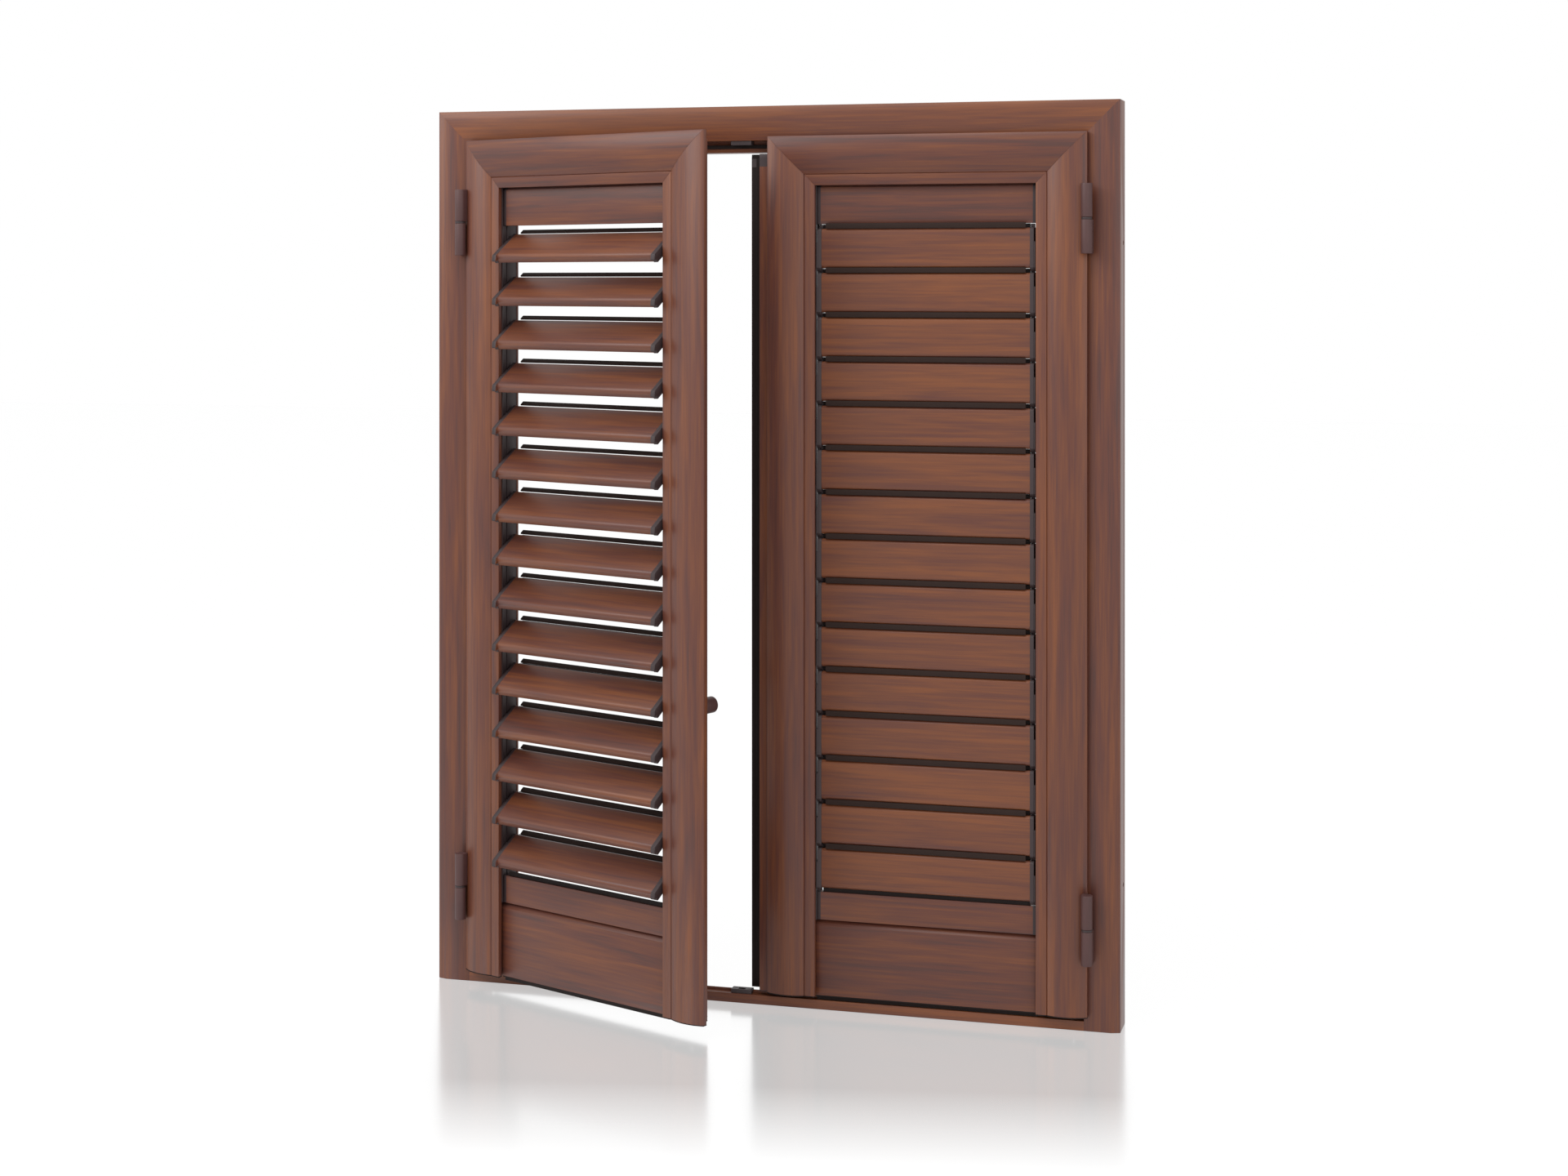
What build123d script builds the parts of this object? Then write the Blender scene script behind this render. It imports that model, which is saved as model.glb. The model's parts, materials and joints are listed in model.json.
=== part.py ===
"""Louvred shutters: a frame with two hinged leaves, each with a column of tilting slats.

Millimetres. X runs along the frame, Y inwards (the outer side faces -Y) and Z up. The origin is
on the floor, at the middle of the threshold's underside. The left leaf stands ajar with its
slats tilted open, and the right leaf is shut with its slats shut.
"""

from build123d import *
import math
import os

# Frame: depths are measured inwards from its outer face
frame_width = 1000
frame_height = 1270
frame_depth = 50
frame_wall = 2
flange_width = 49
edge_bevel_width = 12
edge_bevel_depth = 4
rebate_depth = 18
stop_width = 16
fixing_radius = 3.25
fixing_spacing = 880
fixing_depth = 34

# Threshold
ledge_height = 13
ledge_depth = 12.4
lip_height = 3.6
lip_thickness = 2
sill_thickness = 6

# Leaf profile: s runs from the flange's edge towards the slats, d inwards from the frame's face
leaf_overlap = 5.5
leaf_standoff = 1
leaf_gap = 8
leaf_lift = 7.5
profile_width = 70
profile_back = 30
profile_wall = 1.8
flange_reach = 12
flange_thickness = 6.5
shoulder_reach = 12.5
shoulder_depth = 15
bead_width = 14.5
bead_proud = 11
arch_rise = 5.8
groove_width = 1.6
groove_depth = 1.4
reveal_depth = 6.7
back_lip = 3.7
end_cap_thickness = 1.2

# Fixed strips and bottom rail
rail_height = 98
rail_bevel = 8
rail_face = 1.5
bottom_strip_height = 39
least_top_strip = 30
strip_face = -1
strip_thickness = 12
strip_wall = 1.6
strip_shadow = 2.5
tongue_thickness = 9

# Slats: the section is drawn shut, about its pivot, with y inwards and z up
slat_pitch = 62
slat_height = 55.5
slat_thickness = 12
slat_bulge = 0.5
slat_face = 9
slat_wall = 1.5
nose_radius = 6
top_bevel = 3.2
pivot_depth = 2
open_tilt = 53
full_tilt = 60
cap_side_gap = 3.3
cap_thickness = 5.5
cap_proud = 0.5
foot_reach = 4.4
foot_back = 2
seal_thickness = 2.4
seal_height = 6.05
seal_end_gap = 0.5
seal_setback = 1.2

# Guides, pivot pins and tilt rod
guide_thickness = 7.5
guide_recess = 0.5
guide_line_depth = 6
guide_line_width = 1.6
guide_lip_reach = 1.6
guide_lip_thickness = 2
pivot_radius = 2.5
pin_sides = 6
running_clearance = 0.3
pivot_reach = 8.3
crank_length = 10
crank_radius = 2
rod_width = 10
rod_thickness = 3
rod_slot_slack = 0.15
rod_pin_tip = 0.3
rod_end = 14

# Hinges
leaf_swing_open = 22.6
pin_offset = 42.5
pin_proud = 17.7
barrel_radius = 7.85
barrel_length = 95.5
washer_thickness = 3
washer_inset = 0.35
washer_sides = 16
hinge_pin_radius = 4
hinge_pin_length = 38
hinge_pin_clearance = 0.2
hinge_pin_sides = 8
hinge_wing = 6.6
low_hinge_height = 142
high_hinge_drop = 162.5
wing_gap = 0.5
wing_skin = 1.4

# Lock: handle, rods and keepers
handle_height = 438
handle_setback = 23
plate_length = 94.5
plate_middle = 37.8
plate_width = 27
plate_tip_width = 21
plate_thickness = 9
plate_tip_thickness = 5
hub_radius = 11.3
hub_reach = 36
lever_length = 108
lever_height = 15
lever_tip_height = 12
lever_thickness = 9
spindle_width = 7
spindle_depth = 14
rod_setback = 37
rod_line = 7
lock_rod_width = 8
lock_rod_thickness = 5
lock_rod_start = 34
ear_width = 7
keeper_width = 30
keeper_depth = 13.5
keeper_front = 1.5
keeper_clearance = 0.5
keeper_hole_clearance = 0.9
rod_hole_clearance = 0.3
rod_tip_recess = 0.4

# Astragal on the right leaf, and the black gaskets
astragal_step = 13.5
astragal_stop = 16.5
astragal_cap_thickness = 6
astragal_gasket_inset = 4
gasket_width = 5
gasket_foot = 2
gasket_foot_depth = 2.5
gasket_inset = 5.5
bottom_fin_height = 5.7
bottom_fin_thickness = 3
bottom_fin_line = 4.5

front = -frame_depth / 2
stop_edge = flange_width + stop_width
leaf_inset = flange_width - leaf_overlap
leaf_width = (frame_width - 2 * leaf_inset - leaf_gap) / 2
leaf_top = frame_height - leaf_inset
leaf_bottom = ledge_height + leaf_lift
body_edge = flange_reach + shoulder_reach
bead_edge = profile_width - bead_width
opening_bottom = leaf_bottom + rail_height + rail_bevel
opening_top = leaf_top - profile_width
guide_edge = profile_width - guide_recess
channel_edge = guide_edge - guide_thickness
channel_front = reveal_depth - bead_proud
channel_back = profile_back - back_lip
slat_gap = slat_pitch - slat_height
seal_inset = cap_side_gap + cap_thickness + seal_end_gap
seal_back = slat_thickness - slat_face - seal_setback
slats_bottom = opening_bottom + bottom_strip_height
slat_room = opening_top - slats_bottom - slat_gap - least_top_strip
slat_count = int(slat_room // slat_pitch)
slats_top = slats_bottom + slat_count * slat_pitch
pin_to_edge = leaf_inset - pin_offset
edge_to_pin = leaf_width + pin_to_edge
channel_top = opening_top + profile_width - channel_edge
pivot_heights = [slats_top - slat_height / 2 - slat_pitch * row for row in range(slat_count)]
crank_turn = math.radians(full_tilt / 2)
crank_line = pivot_depth + crank_length * (1 + math.cos(crank_turn)) / 2
crank_sway = crank_length * (1 - math.cos(crank_turn))
hinge_heights = (low_hinge_height, frame_height - high_hinge_drop)
handle_x = edge_to_pin - profile_width + handle_setback
lock_rod_x = edge_to_pin - profile_width + rod_setback
inner_face = pin_proud + profile_back
spindle_hole = spindle_width * math.sqrt(0.5) + running_clearance
pocket_reach = pivot_reach - cap_side_gap - guide_recess + running_clearance

os.makedirs("parts", exist_ok=True)


def save(piece, name):
    """Names a finished piece and writes it to its own file."""
    piece.label = name
    export_step(piece, f"parts/{name}.step")


class Side:
    """The axes of a leaf or a jamb: along it, inwards, and up, from a point on the floor."""

    def __init__(self, name, x, depth, side, swing=0):
        turn = math.radians(swing)
        self.name = name
        self.origin = Vector(x, front + depth, 0)
        self.along = Vector(-side * math.cos(turn), -math.sin(turn), 0)
        self.inward = Vector(-side * math.sin(turn), math.cos(turn), 0)
        self.up = Vector(0, 0, 1)
        self.left = side < 0

    def point(self, x, y, z):
        return self.origin + self.along * x + self.inward * y + self.up * z

    def upright(self, low, high):
        """A plan plane, x along and y inwards, to extrude from low to high."""
        if self.left:
            return Plane(self.point(0, 0, low), x_dir=self.along, z_dir=self.up)
        return Plane(self.point(0, 0, high), x_dir=self.along, z_dir=self.up * -1)

    def across(self, low, high, y=0, z=0, tilt=0):
        """A section plane, x inwards and y up, to extrude from low to high along the leaf.

        A tilt turns the section about its origin, its top inwards and its foot outwards.
        """
        start = low if self.left else high
        turn = math.radians(tilt)
        x_dir = self.inward * math.cos(turn) - self.up * math.sin(turn)
        return Plane(self.point(start, y, z), x_dir=x_dir, z_dir=self.inward.cross(self.up))

    def facing(self, x, y, z):
        """A plane along the leaf's face, x towards its free edge and y up, facing outwards."""
        if self.left:
            return Plane(self.point(x, y, z), x_dir=self.along, z_dir=self.inward * -1)
        return Plane(self.point(x, y, z), x_dir=self.along * -1, z_dir=self.inward * -1)

    def mitre(self, x, z, towards):
        """The mitre plane of a top corner; its top side is away from the upright member."""
        return Plane(self.point(x, 0, z), x_dir=self.inward, z_dir=self.along * towards + self.up)


frame_left = Side("left", -frame_width / 2, 0, -1)
frame_right = Side("right", frame_width / 2, 0, 1)
left_leaf = Side("left", -frame_width / 2 + pin_offset, -pin_proud, -1, leaf_swing_open)
shut_left_leaf = Side("left", -frame_width / 2 + pin_offset, -pin_proud, -1)
right_leaf = Side("right", frame_width / 2 - pin_offset, -pin_proud, 1)


def outline(points, mode=Mode.ADD):
    """A closed polygon in the sketch that is open."""
    with BuildLine() as edge:
        Polyline(*points, close=True)
    make_face(edge.edges(), mode=mode)


def frame_section(place):
    """The tubular frame profile: bevelled outer face, rebate, gasket groove and stop leg."""
    gasket_edge = flange_width + gasket_inset + (gasket_width - gasket_foot) / 2
    groove_floor = rebate_depth + gasket_foot_depth
    outline(
        [
            place(0, edge_bevel_depth),
            place(edge_bevel_width, 0),
            place(flange_width, 0),
            place(flange_width, rebate_depth),
            place(gasket_edge, rebate_depth),
            place(gasket_edge, groove_floor),
            place(gasket_edge + gasket_foot, groove_floor),
            place(gasket_edge + gasket_foot, rebate_depth),
            place(stop_edge, rebate_depth),
            place(stop_edge, frame_depth),
            place(0, frame_depth),
        ]
    )
    offset(amount=-frame_wall, kind=Kind.INTERSECTION, mode=Mode.SUBTRACT)


def gasket_section(place):
    """A T-shaped gasket: a soft head on the stop and a foot in its groove."""
    room = rebate_depth - shoulder_depth - running_clearance
    head = flange_width + gasket_inset
    foot = head + (gasket_width - gasket_foot) / 2
    outline(
        [
            place(head, rebate_depth - room),
            place(head + gasket_width, rebate_depth - room),
            place(head + gasket_width, rebate_depth),
            place(foot + gasket_foot, rebate_depth),
            place(foot + gasket_foot, rebate_depth + gasket_foot_depth),
            place(foot, rebate_depth + gasket_foot_depth),
            place(foot, rebate_depth),
            place(head, rebate_depth),
        ]
    )


def frame_upright(side, section, foot=0):
    """One jamb, or its gasket, from its foot to its mitre."""
    with BuildPart() as piece:
        with BuildSketch(side.upright(foot, frame_height)):
            section(lambda w, d: (w, d))
        extrude(amount=frame_height - foot)
        split(bisect_by=side.mitre(0, frame_height, 1), keep=Keep.BOTTOM)
    return piece


def frame_head(section):
    """The head, or its gasket, with a mitre at each end."""
    with BuildPart() as piece:
        with BuildSketch(frame_left.across(0, frame_width)):
            section(lambda w, d: (d, frame_height - w))
        extrude(amount=frame_width)
        split(bisect_by=frame_left.mitre(0, frame_height, 1), keep=Keep.TOP)
        split(bisect_by=frame_right.mitre(0, frame_height, 1), keep=Keep.TOP)
    return piece


def lock_hole(leaf, low, high, clearance):
    """Cuts the slot that a lock rod passes through, in the part that is open."""
    with BuildSketch(leaf.upright(low, high)) as slot:
        with Locations((lock_rod_x, pin_proud + rod_line)):
            Rectangle(lock_rod_width + 2 * clearance, lock_rod_thickness + 2 * clearance)
    extrude(slot.sketch, amount=high - low, mode=Mode.SUBTRACT)


def make_jamb(side):
    """A jamb with its two fixing holes, drilled from the stop leg through to the wall."""
    profile = frame_upright(side, frame_section)
    middle = side.point(stop_edge / 2, fixing_depth, frame_height / 2)
    with BuildPart() as jamb:
        add(profile.part)
        with BuildSketch(Plane(middle, x_dir=side.inward, z_dir=side.along)):
            with GridLocations(fixing_spacing, fixing_spacing, 1, 2):
                Circle(fixing_radius)
        extrude(amount=stop_edge, both=True, mode=Mode.SUBTRACT)
    save(jamb.part, f"{side.name}_jamb")


def make_head():
    """The head, with the hole that the upper lock rod enters."""
    profile = frame_head(frame_section)
    with BuildPart() as head:
        add(profile.part)
        flange_foot = frame_height - flange_width
        reach = 2 * frame_wall
        lock_hole(shut_left_leaf, flange_foot - reach, flange_foot + reach, keeper_hole_clearance)
    save(head.part, "head")


def make_frame_gasket():
    """The gasket on the stop legs of both jambs and the head."""
    strips = [frame_upright(side, gasket_section, sill_thickness) for side in (frame_left, frame_right)]
    strips.append(frame_head(gasket_section))
    save(Compound(children=[solid for strip in strips for solid in strip.part.solids()]), "frame_gasket")


def make_threshold():
    """The threshold: a hollow ledge with an upstand lip, and a low sill behind it."""
    with BuildPart() as threshold:
        with BuildSketch(frame_left.across(flange_width, frame_width - flange_width)):
            outline(
                [
                    (0, 0),
                    (frame_depth, 0),
                    (frame_depth, sill_thickness),
                    (ledge_depth + lip_thickness, sill_thickness),
                    (ledge_depth + lip_thickness, ledge_height + lip_height),
                    (ledge_depth, ledge_height + lip_height),
                    (ledge_depth, ledge_height),
                    (0, ledge_height),
                ]
            )
            chamber = (ledge_depth - frame_wall, ledge_height - 2 * frame_wall)
            with Locations((frame_wall, frame_wall)):
                Rectangle(*chamber, align=(Align.MIN, Align.MIN), mode=Mode.SUBTRACT)
        extrude(amount=frame_width - 2 * flange_width)
        with BuildSketch(Plane.XY):
            for side in (-1, 1):
                with Locations((side * frame_width / 2, front + rebate_depth)):
                    Rectangle(2 * stop_edge, frame_depth, align=(Align.CENTER, Align.MIN))
        extrude(amount=ledge_height + lip_height, mode=Mode.SUBTRACT)
        lock_hole(shut_left_leaf, ledge_height / 2, ledge_height, keeper_hole_clearance)
    save(threshold.part, "threshold")
    return threshold


def make_keepers(threshold):
    """The two black keepers that the lock rods enter: one astride the lip, one in the head."""
    side_top = leaf_top - flange_reach
    spans = (
        (ledge_height, leaf_bottom - end_cap_thickness - keeper_clearance),
        (side_top + keeper_clearance, frame_height - flange_width),
    )
    with BuildPart() as keepers:
        for low, high in spans:
            with BuildSketch(shut_left_leaf.upright(low, high)):
                with Locations((lock_rod_x, pin_proud + keeper_front)):
                    Rectangle(keeper_width, keeper_depth, align=(Align.CENTER, Align.MIN))
            extrude(amount=high - low)
            lock_hole(shut_left_leaf, low, high, keeper_hole_clearance)
        add(threshold.part, mode=Mode.SUBTRACT)
    save(keepers.part, "lock_keepers")


def arch_depth(s):
    """How far inwards the arched face lies at a distance from the flange's edge."""
    start = -leaf_standoff - flange_thickness
    share = s / (bead_edge - groove_width)
    return start - (bead_proud + start) * share - 4 * arch_rise * share * (1 - share)


def leaf_section(place):
    """The leaf's profile: arched face, bead, guide channel, shoulder and flange."""
    groove_back = bead_edge - groove_width
    with BuildLine() as edge:
        ThreePointArc(
            place(0, arch_depth(0)),
            place(groove_back / 2, arch_depth(groove_back / 2)),
            place(groove_back, -bead_proud),
        )
        Polyline(
            place(groove_back, -bead_proud),
            place(bead_edge - groove_width / 2, groove_depth - bead_proud),
            place(bead_edge, -bead_proud),
            place(profile_width, -bead_proud),
            place(profile_width, channel_front),
            place(channel_edge, channel_front),
            place(channel_edge, channel_back),
            place(profile_width, channel_back),
            place(profile_width, profile_back),
            place(body_edge, profile_back),
            place(body_edge, shoulder_depth),
            place(flange_reach, shoulder_depth),
            place(flange_reach, -leaf_standoff),
            place(0, -leaf_standoff),
            place(0, arch_depth(0)),
        )
    make_face(edge.edges())


def leaf_chamber(place):
    """Cuts the chamber of the leaf's profile, a wall's thickness inside the arch and the body."""
    near = flange_reach + profile_wall
    far = channel_edge - profile_wall
    arch_end = bead_edge - groove_width - profile_wall
    middle = (near + arch_end) / 2
    with BuildLine() as edge:
        ThreePointArc(
            place(near, arch_depth(near) + profile_wall),
            place(middle, arch_depth(middle) + profile_wall),
            place(arch_end, arch_depth(arch_end) + profile_wall),
        )
        Polyline(
            place(arch_end, arch_depth(arch_end) + profile_wall),
            place(arch_end, channel_front),
            place(far, channel_front),
            place(far, profile_back - profile_wall),
            place(body_edge + profile_wall, profile_back - profile_wall),
            place(body_edge + profile_wall, shoulder_depth - profile_wall),
            place(near, shoulder_depth - profile_wall),
            place(near, arch_depth(near) + profile_wall),
        )
    make_face(edge.edges(), mode=Mode.SUBTRACT)


def hollow(wall):
    """Hollows the face in the open sketch, leaving a wall all round."""
    offset(amount=-wall, kind=Kind.INTERSECTION, mode=Mode.SUBTRACT)


def hinge_place(s, d):
    """A profile point on the hinge side of a leaf's plan."""
    return (pin_to_edge + s, d + pin_proud)


def free_place(s, d):
    """A profile point on the free side of a leaf's plan."""
    return (edge_to_pin - s, d + pin_proud)


def top_place(s, d):
    """A profile point in the section of a leaf's top rail."""
    return (d + pin_proud, leaf_top - s)


def stile(leaf, place, corner_x, towards):
    """One stile, from the leaf's foot to its mitre."""
    with BuildPart() as piece:
        with BuildSketch(leaf.upright(leaf_bottom, leaf_top)):
            leaf_section(place)
            leaf_chamber(place)
        extrude(amount=leaf_top - leaf_bottom)
        split(bisect_by=leaf.mitre(corner_x, leaf_top, towards), keep=Keep.BOTTOM)
    return piece


def top_rail(leaf):
    """The top rail, mitred to both stiles."""
    with BuildPart() as piece:
        with BuildSketch(leaf.across(pin_to_edge, edge_to_pin)):
            leaf_section(top_place)
            leaf_chamber(top_place)
        extrude(amount=leaf_width)
        split(bisect_by=leaf.mitre(pin_to_edge, leaf_top, 1), keep=Keep.TOP)
        split(bisect_by=leaf.mitre(edge_to_pin, leaf_top, -1), keep=Keep.TOP)
    return piece


def bottom_rail(leaf):
    """The wide bottom rail: a bevelled tube whose ends slide into the guide channels."""
    near = pin_to_edge + channel_edge
    far = edge_to_pin - channel_edge
    face = pin_proud - rail_face
    back = pin_proud + profile_back
    with BuildPart() as piece:
        with BuildSketch(leaf.across(near, far)):
            outline(
                [
                    (face, leaf_bottom),
                    (back, leaf_bottom),
                    (back, opening_bottom),
                    (face + rail_bevel, opening_bottom),
                    (face, opening_bottom - rail_bevel),
                ]
            )
            hollow(profile_wall)
        extrude(amount=far - near)
        with BuildSketch(leaf.upright(leaf_bottom, opening_bottom)):
            for end in (near, far):
                with Locations((end, pin_proud + channel_back)):
                    notch = 2 * (profile_width - channel_edge)
                    Rectangle(notch, 2 * back_lip, align=(Align.CENTER, Align.MIN))
        extrude(amount=opening_bottom - leaf_bottom, mode=Mode.SUBTRACT)
    return piece


def fixed_strips(leaf):
    """The fixed strips that close the opening below the last slat and above the first."""
    near = pin_to_edge + guide_edge
    far = edge_to_pin - guide_edge
    face = pin_proud + strip_face
    tongue = face + strip_thickness - tongue_thickness
    with BuildPart() as piece:
        with BuildSketch(leaf.across(near, far)):
            with Locations((face, opening_bottom)):
                Rectangle(strip_thickness, bottom_strip_height, align=(Align.MIN, Align.MIN))
            outline(
                [
                    (face, slats_top + slat_gap),
                    (face + strip_thickness, slats_top + slat_gap),
                    (face + strip_thickness, channel_top),
                    (tongue, channel_top),
                    (tongue, opening_top - strip_shadow),
                    (face, opening_top - strip_shadow),
                ]
            )
            hollow(strip_wall)
        extrude(amount=far - near)
    return piece


def slat_guides(leaf):
    """The nylon guides in both stiles, with a pocket for each pivot and the rod's channel."""
    pocket = 2 * (pivot_radius + running_clearance)
    depth = channel_back - channel_front
    channel_width = rod_width + 2 * running_clearance
    with BuildPart() as piece:
        with BuildSketch(leaf.upright(opening_bottom, channel_top)):
            with Locations(hinge_place(channel_edge, channel_front)):
                Rectangle(guide_thickness, depth, align=(Align.MIN, Align.MIN))
            with Locations(free_place(channel_edge, channel_front)):
                Rectangle(guide_thickness, depth, align=(Align.MAX, Align.MIN))
            lip_depth = channel_front + guide_lip_thickness / 2
            for lip in (hinge_place(guide_edge, lip_depth), free_place(guide_edge, lip_depth)):
                with Locations(lip):
                    Rectangle(2 * guide_lip_reach, guide_lip_thickness)
            with Locations(hinge_place(guide_edge, guide_line_depth)):
                Rectangle(2 * guide_line_width, guide_line_width, mode=Mode.SUBTRACT)
            with Locations(free_place(guide_edge, crank_line)):
                Rectangle(2 * pocket_reach, channel_width, mode=Mode.SUBTRACT)
        extrude(amount=channel_top - opening_bottom)
        for end in (pin_to_edge + guide_edge, edge_to_pin - guide_edge):
            near = end - pocket_reach
            far = end + pocket_reach
            with BuildSketch(leaf.across(near, far, y=pin_proud + pivot_depth)):
                with Locations([(0, height) for height in pivot_heights]):
                    Rectangle(pocket, pocket)
            extrude(amount=far - near, mode=Mode.SUBTRACT)
    return piece


def slat_section():
    """A slat's section about its pivot: bullnose below, bevelled edge above, slightly bowed."""
    half = slat_height / 2
    face = -slat_face
    back = slat_thickness - slat_face
    nose_start = (face, nose_radius - half)
    nose_middle = nose_radius * (1 - math.sqrt(0.5))
    nose_end = (face + nose_radius, -half)
    face_top = (face, half - top_bevel)
    bow = (face - slat_bulge, (nose_radius - top_bevel) / 2)
    with BuildLine() as edge:
        ThreePointArc(nose_start, (face + nose_middle, nose_middle - half), nose_end)
        Polyline(nose_end, (back, -half), (back, half), (face + top_bevel, half), face_top)
        ThreePointArc(face_top, bow, nose_start)
    make_face(edge.edges())


def slat_chamber():
    """Cuts the chamber of a slat, a wall's thickness inside its faces."""
    low = slat_wall - slat_height / 2
    front_wall = slat_wall - slat_face
    back_wall = slat_thickness - slat_face - slat_wall
    outline(
        [
            (front_wall, low + nose_radius),
            (front_wall + nose_radius, low),
            (back_wall, low),
            (back_wall, -low),
            (front_wall + top_bevel, -low),
            (front_wall, -low - top_bevel),
        ],
        Mode.SUBTRACT,
    )


def cap_section():
    """An end cap's section: a little larger than the slat, with a foot over the slat below."""
    half = slat_height / 2 + cap_proud
    face = -slat_face - cap_proud
    back = slat_thickness - slat_face + cap_proud
    foot = -slat_height / 2 - foot_reach
    toe = nose_radius - cap_proud
    outline(
        [
            (face, foot + toe),
            (face + toe, foot),
            (-foot_back, foot),
            (-foot_back, -half),
            (back, -half),
            (back, half),
            (face + top_bevel, half),
            (face, half - top_bevel),
        ]
    )


def slat_seal(leaf, height, tilt):
    """The seal strip that stands on a slat, or on the strip below the last one."""
    near = pin_to_edge + profile_width + seal_inset
    far = edge_to_pin - profile_width - seal_inset
    with BuildPart() as seal:
        with BuildSketch(leaf.across(near, far, y=pin_proud + pivot_depth, z=height, tilt=tilt)):
            with Locations((seal_back, slat_height / 2)):
                Rectangle(seal_thickness, seal_height, align=(Align.MAX, Align.MIN))
        extrude(amount=far - near)
    return seal.part


def slat_pieces(leaf, height, tilt):
    """One slat: its tubular profile, two nylon end caps with their pins, and its seal strip."""
    near = pin_to_edge + profile_width + cap_side_gap
    far = edge_to_pin - profile_width - cap_side_gap
    crank = (crank_length * math.cos(crank_turn), crank_length * math.sin(crank_turn))

    def section_plane(low, high):
        return leaf.across(low, high, y=pin_proud + pivot_depth, z=height, tilt=tilt)

    with BuildPart() as profile:
        with BuildSketch(section_plane(near + cap_thickness, far - cap_thickness)):
            slat_section()
            slat_chamber()
        extrude(amount=far - near - 2 * cap_thickness)

    with BuildPart() as hinge_cap:
        with BuildSketch(section_plane(near, near + cap_thickness)):
            cap_section()
        extrude(amount=cap_thickness)
        with BuildSketch(section_plane(near - pivot_reach, near)):
            RegularPolygon(pivot_radius, pin_sides)
        extrude(amount=pivot_reach)

    with BuildPart() as free_cap:
        with BuildSketch(section_plane(far - cap_thickness, far)):
            cap_section()
            with Locations((crank[0] / 2, crank[1] / 2)):
                ear_length = crank_length + ear_width
                Rectangle(ear_length, ear_width, rotation=math.degrees(crank_turn))
        extrude(amount=cap_thickness)
        with BuildSketch(section_plane(far, far + pivot_reach)):
            RegularPolygon(pivot_radius, pin_sides)
            with Locations(crank):
                RegularPolygon(crank_radius, pin_sides)
        extrude(amount=pivot_reach)
    return [profile.part, hinge_cap.part, free_cap.part, slat_seal(leaf, height, tilt)]


def tilt_rod(leaf, tilt):
    """The rod that joins one leaf's slats, with a slot for each crank pin."""
    lift = crank_length * math.sin(crank_turn - math.radians(tilt))
    slot_width = 2 * (crank_radius + running_clearance) + crank_sway
    slot_height = 2 * (crank_radius + running_clearance + rod_slot_slack)
    face = edge_to_pin - profile_width - cap_side_gap + pivot_reach - rod_pin_tip - rod_thickness
    low = pivot_heights[-1] + lift - rod_end
    high = pivot_heights[0] + lift + rod_end
    with BuildPart() as rod:
        with BuildSketch(leaf.upright(low, high)):
            with Locations((face, pin_proud + crank_line)):
                Rectangle(rod_thickness, rod_width, align=(Align.MIN, Align.CENTER))
        extrude(amount=high - low)
        with BuildSketch(leaf.across(face, face + rod_thickness, y=pin_proud + crank_line)):
            with Locations([(0, height + lift) for height in pivot_heights]):
                Rectangle(slot_width, slot_height)
        extrude(amount=rod_thickness, mode=Mode.SUBTRACT)
    return rod


def bottom_seals(leaf, has_lock):
    """The thin black caps under both stiles, and the seal under the bottom rail."""
    low = leaf_bottom - end_cap_thickness
    pieces = []
    for place in (hinge_place, free_place):
        with BuildPart() as cap:
            with BuildSketch(leaf.upright(low, leaf_bottom)):
                leaf_section(place)
            extrude(amount=end_cap_thickness)
            if has_lock and place is free_place:
                lock_hole(leaf, low, leaf_bottom, rod_hole_clearance)
        pieces.append(cap.part)
    near = pin_to_edge + profile_width
    far = edge_to_pin - profile_width
    with BuildPart() as strip:
        with BuildSketch(leaf.across(near, far, y=pin_proud)):
            with Locations((-rail_face, low)):
                width = rail_face + profile_back
                Rectangle(width, end_cap_thickness, align=(Align.MIN, Align.MIN))
            with Locations((bottom_fin_line, low)):
                Rectangle(bottom_fin_thickness, bottom_fin_height, align=(Align.CENTER, Align.MAX))
        extrude(amount=far - near)
    return pieces + [strip.part]


def knuckle(side, axis, low, high, wing_spot, wing_size):
    """One hinge knuckle: a round barrel and the wing that carries it."""
    with BuildPart() as piece:
        with BuildSketch(side.upright(low, high)):
            with Locations(axis):
                Circle(barrel_radius)
            with Locations(wing_spot):
                Rectangle(*wing_size, align=(Align.MIN, Align.MIN))
        extrude(amount=high - low)
    return piece


def frame_hinge_halves():
    """The lower knuckle of each hinge with its pin, and the washer on it, on the jambs."""
    axis = (pin_offset, -pin_proud)
    wing_spot = (pin_offset - wing_gap - hinge_wing, -pin_proud)
    pieces = []
    for side in (frame_left, frame_right):
        for middle in hinge_heights:
            mouth = middle - washer_thickness / 2
            foot = middle - barrel_length / 2
            barrel = knuckle(side, axis, foot, mouth, wing_spot, (hinge_wing, pin_proud))
            with BuildPart() as half:
                add(barrel.part)
                with BuildSketch(side.upright(mouth, mouth + hinge_pin_length)):
                    with Locations(axis):
                        RegularPolygon(hinge_pin_radius, hinge_pin_sides)
                extrude(amount=hinge_pin_length)
            with BuildPart() as washer:
                with BuildSketch(side.upright(mouth, mouth + washer_thickness)):
                    with Locations(axis):
                        RegularPolygon(barrel_radius - washer_inset, washer_sides)
                        RegularPolygon(hinge_pin_radius, hinge_pin_sides, mode=Mode.SUBTRACT)
                extrude(amount=washer_thickness)
            pieces += [half.part, washer.part]
    return pieces


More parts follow.
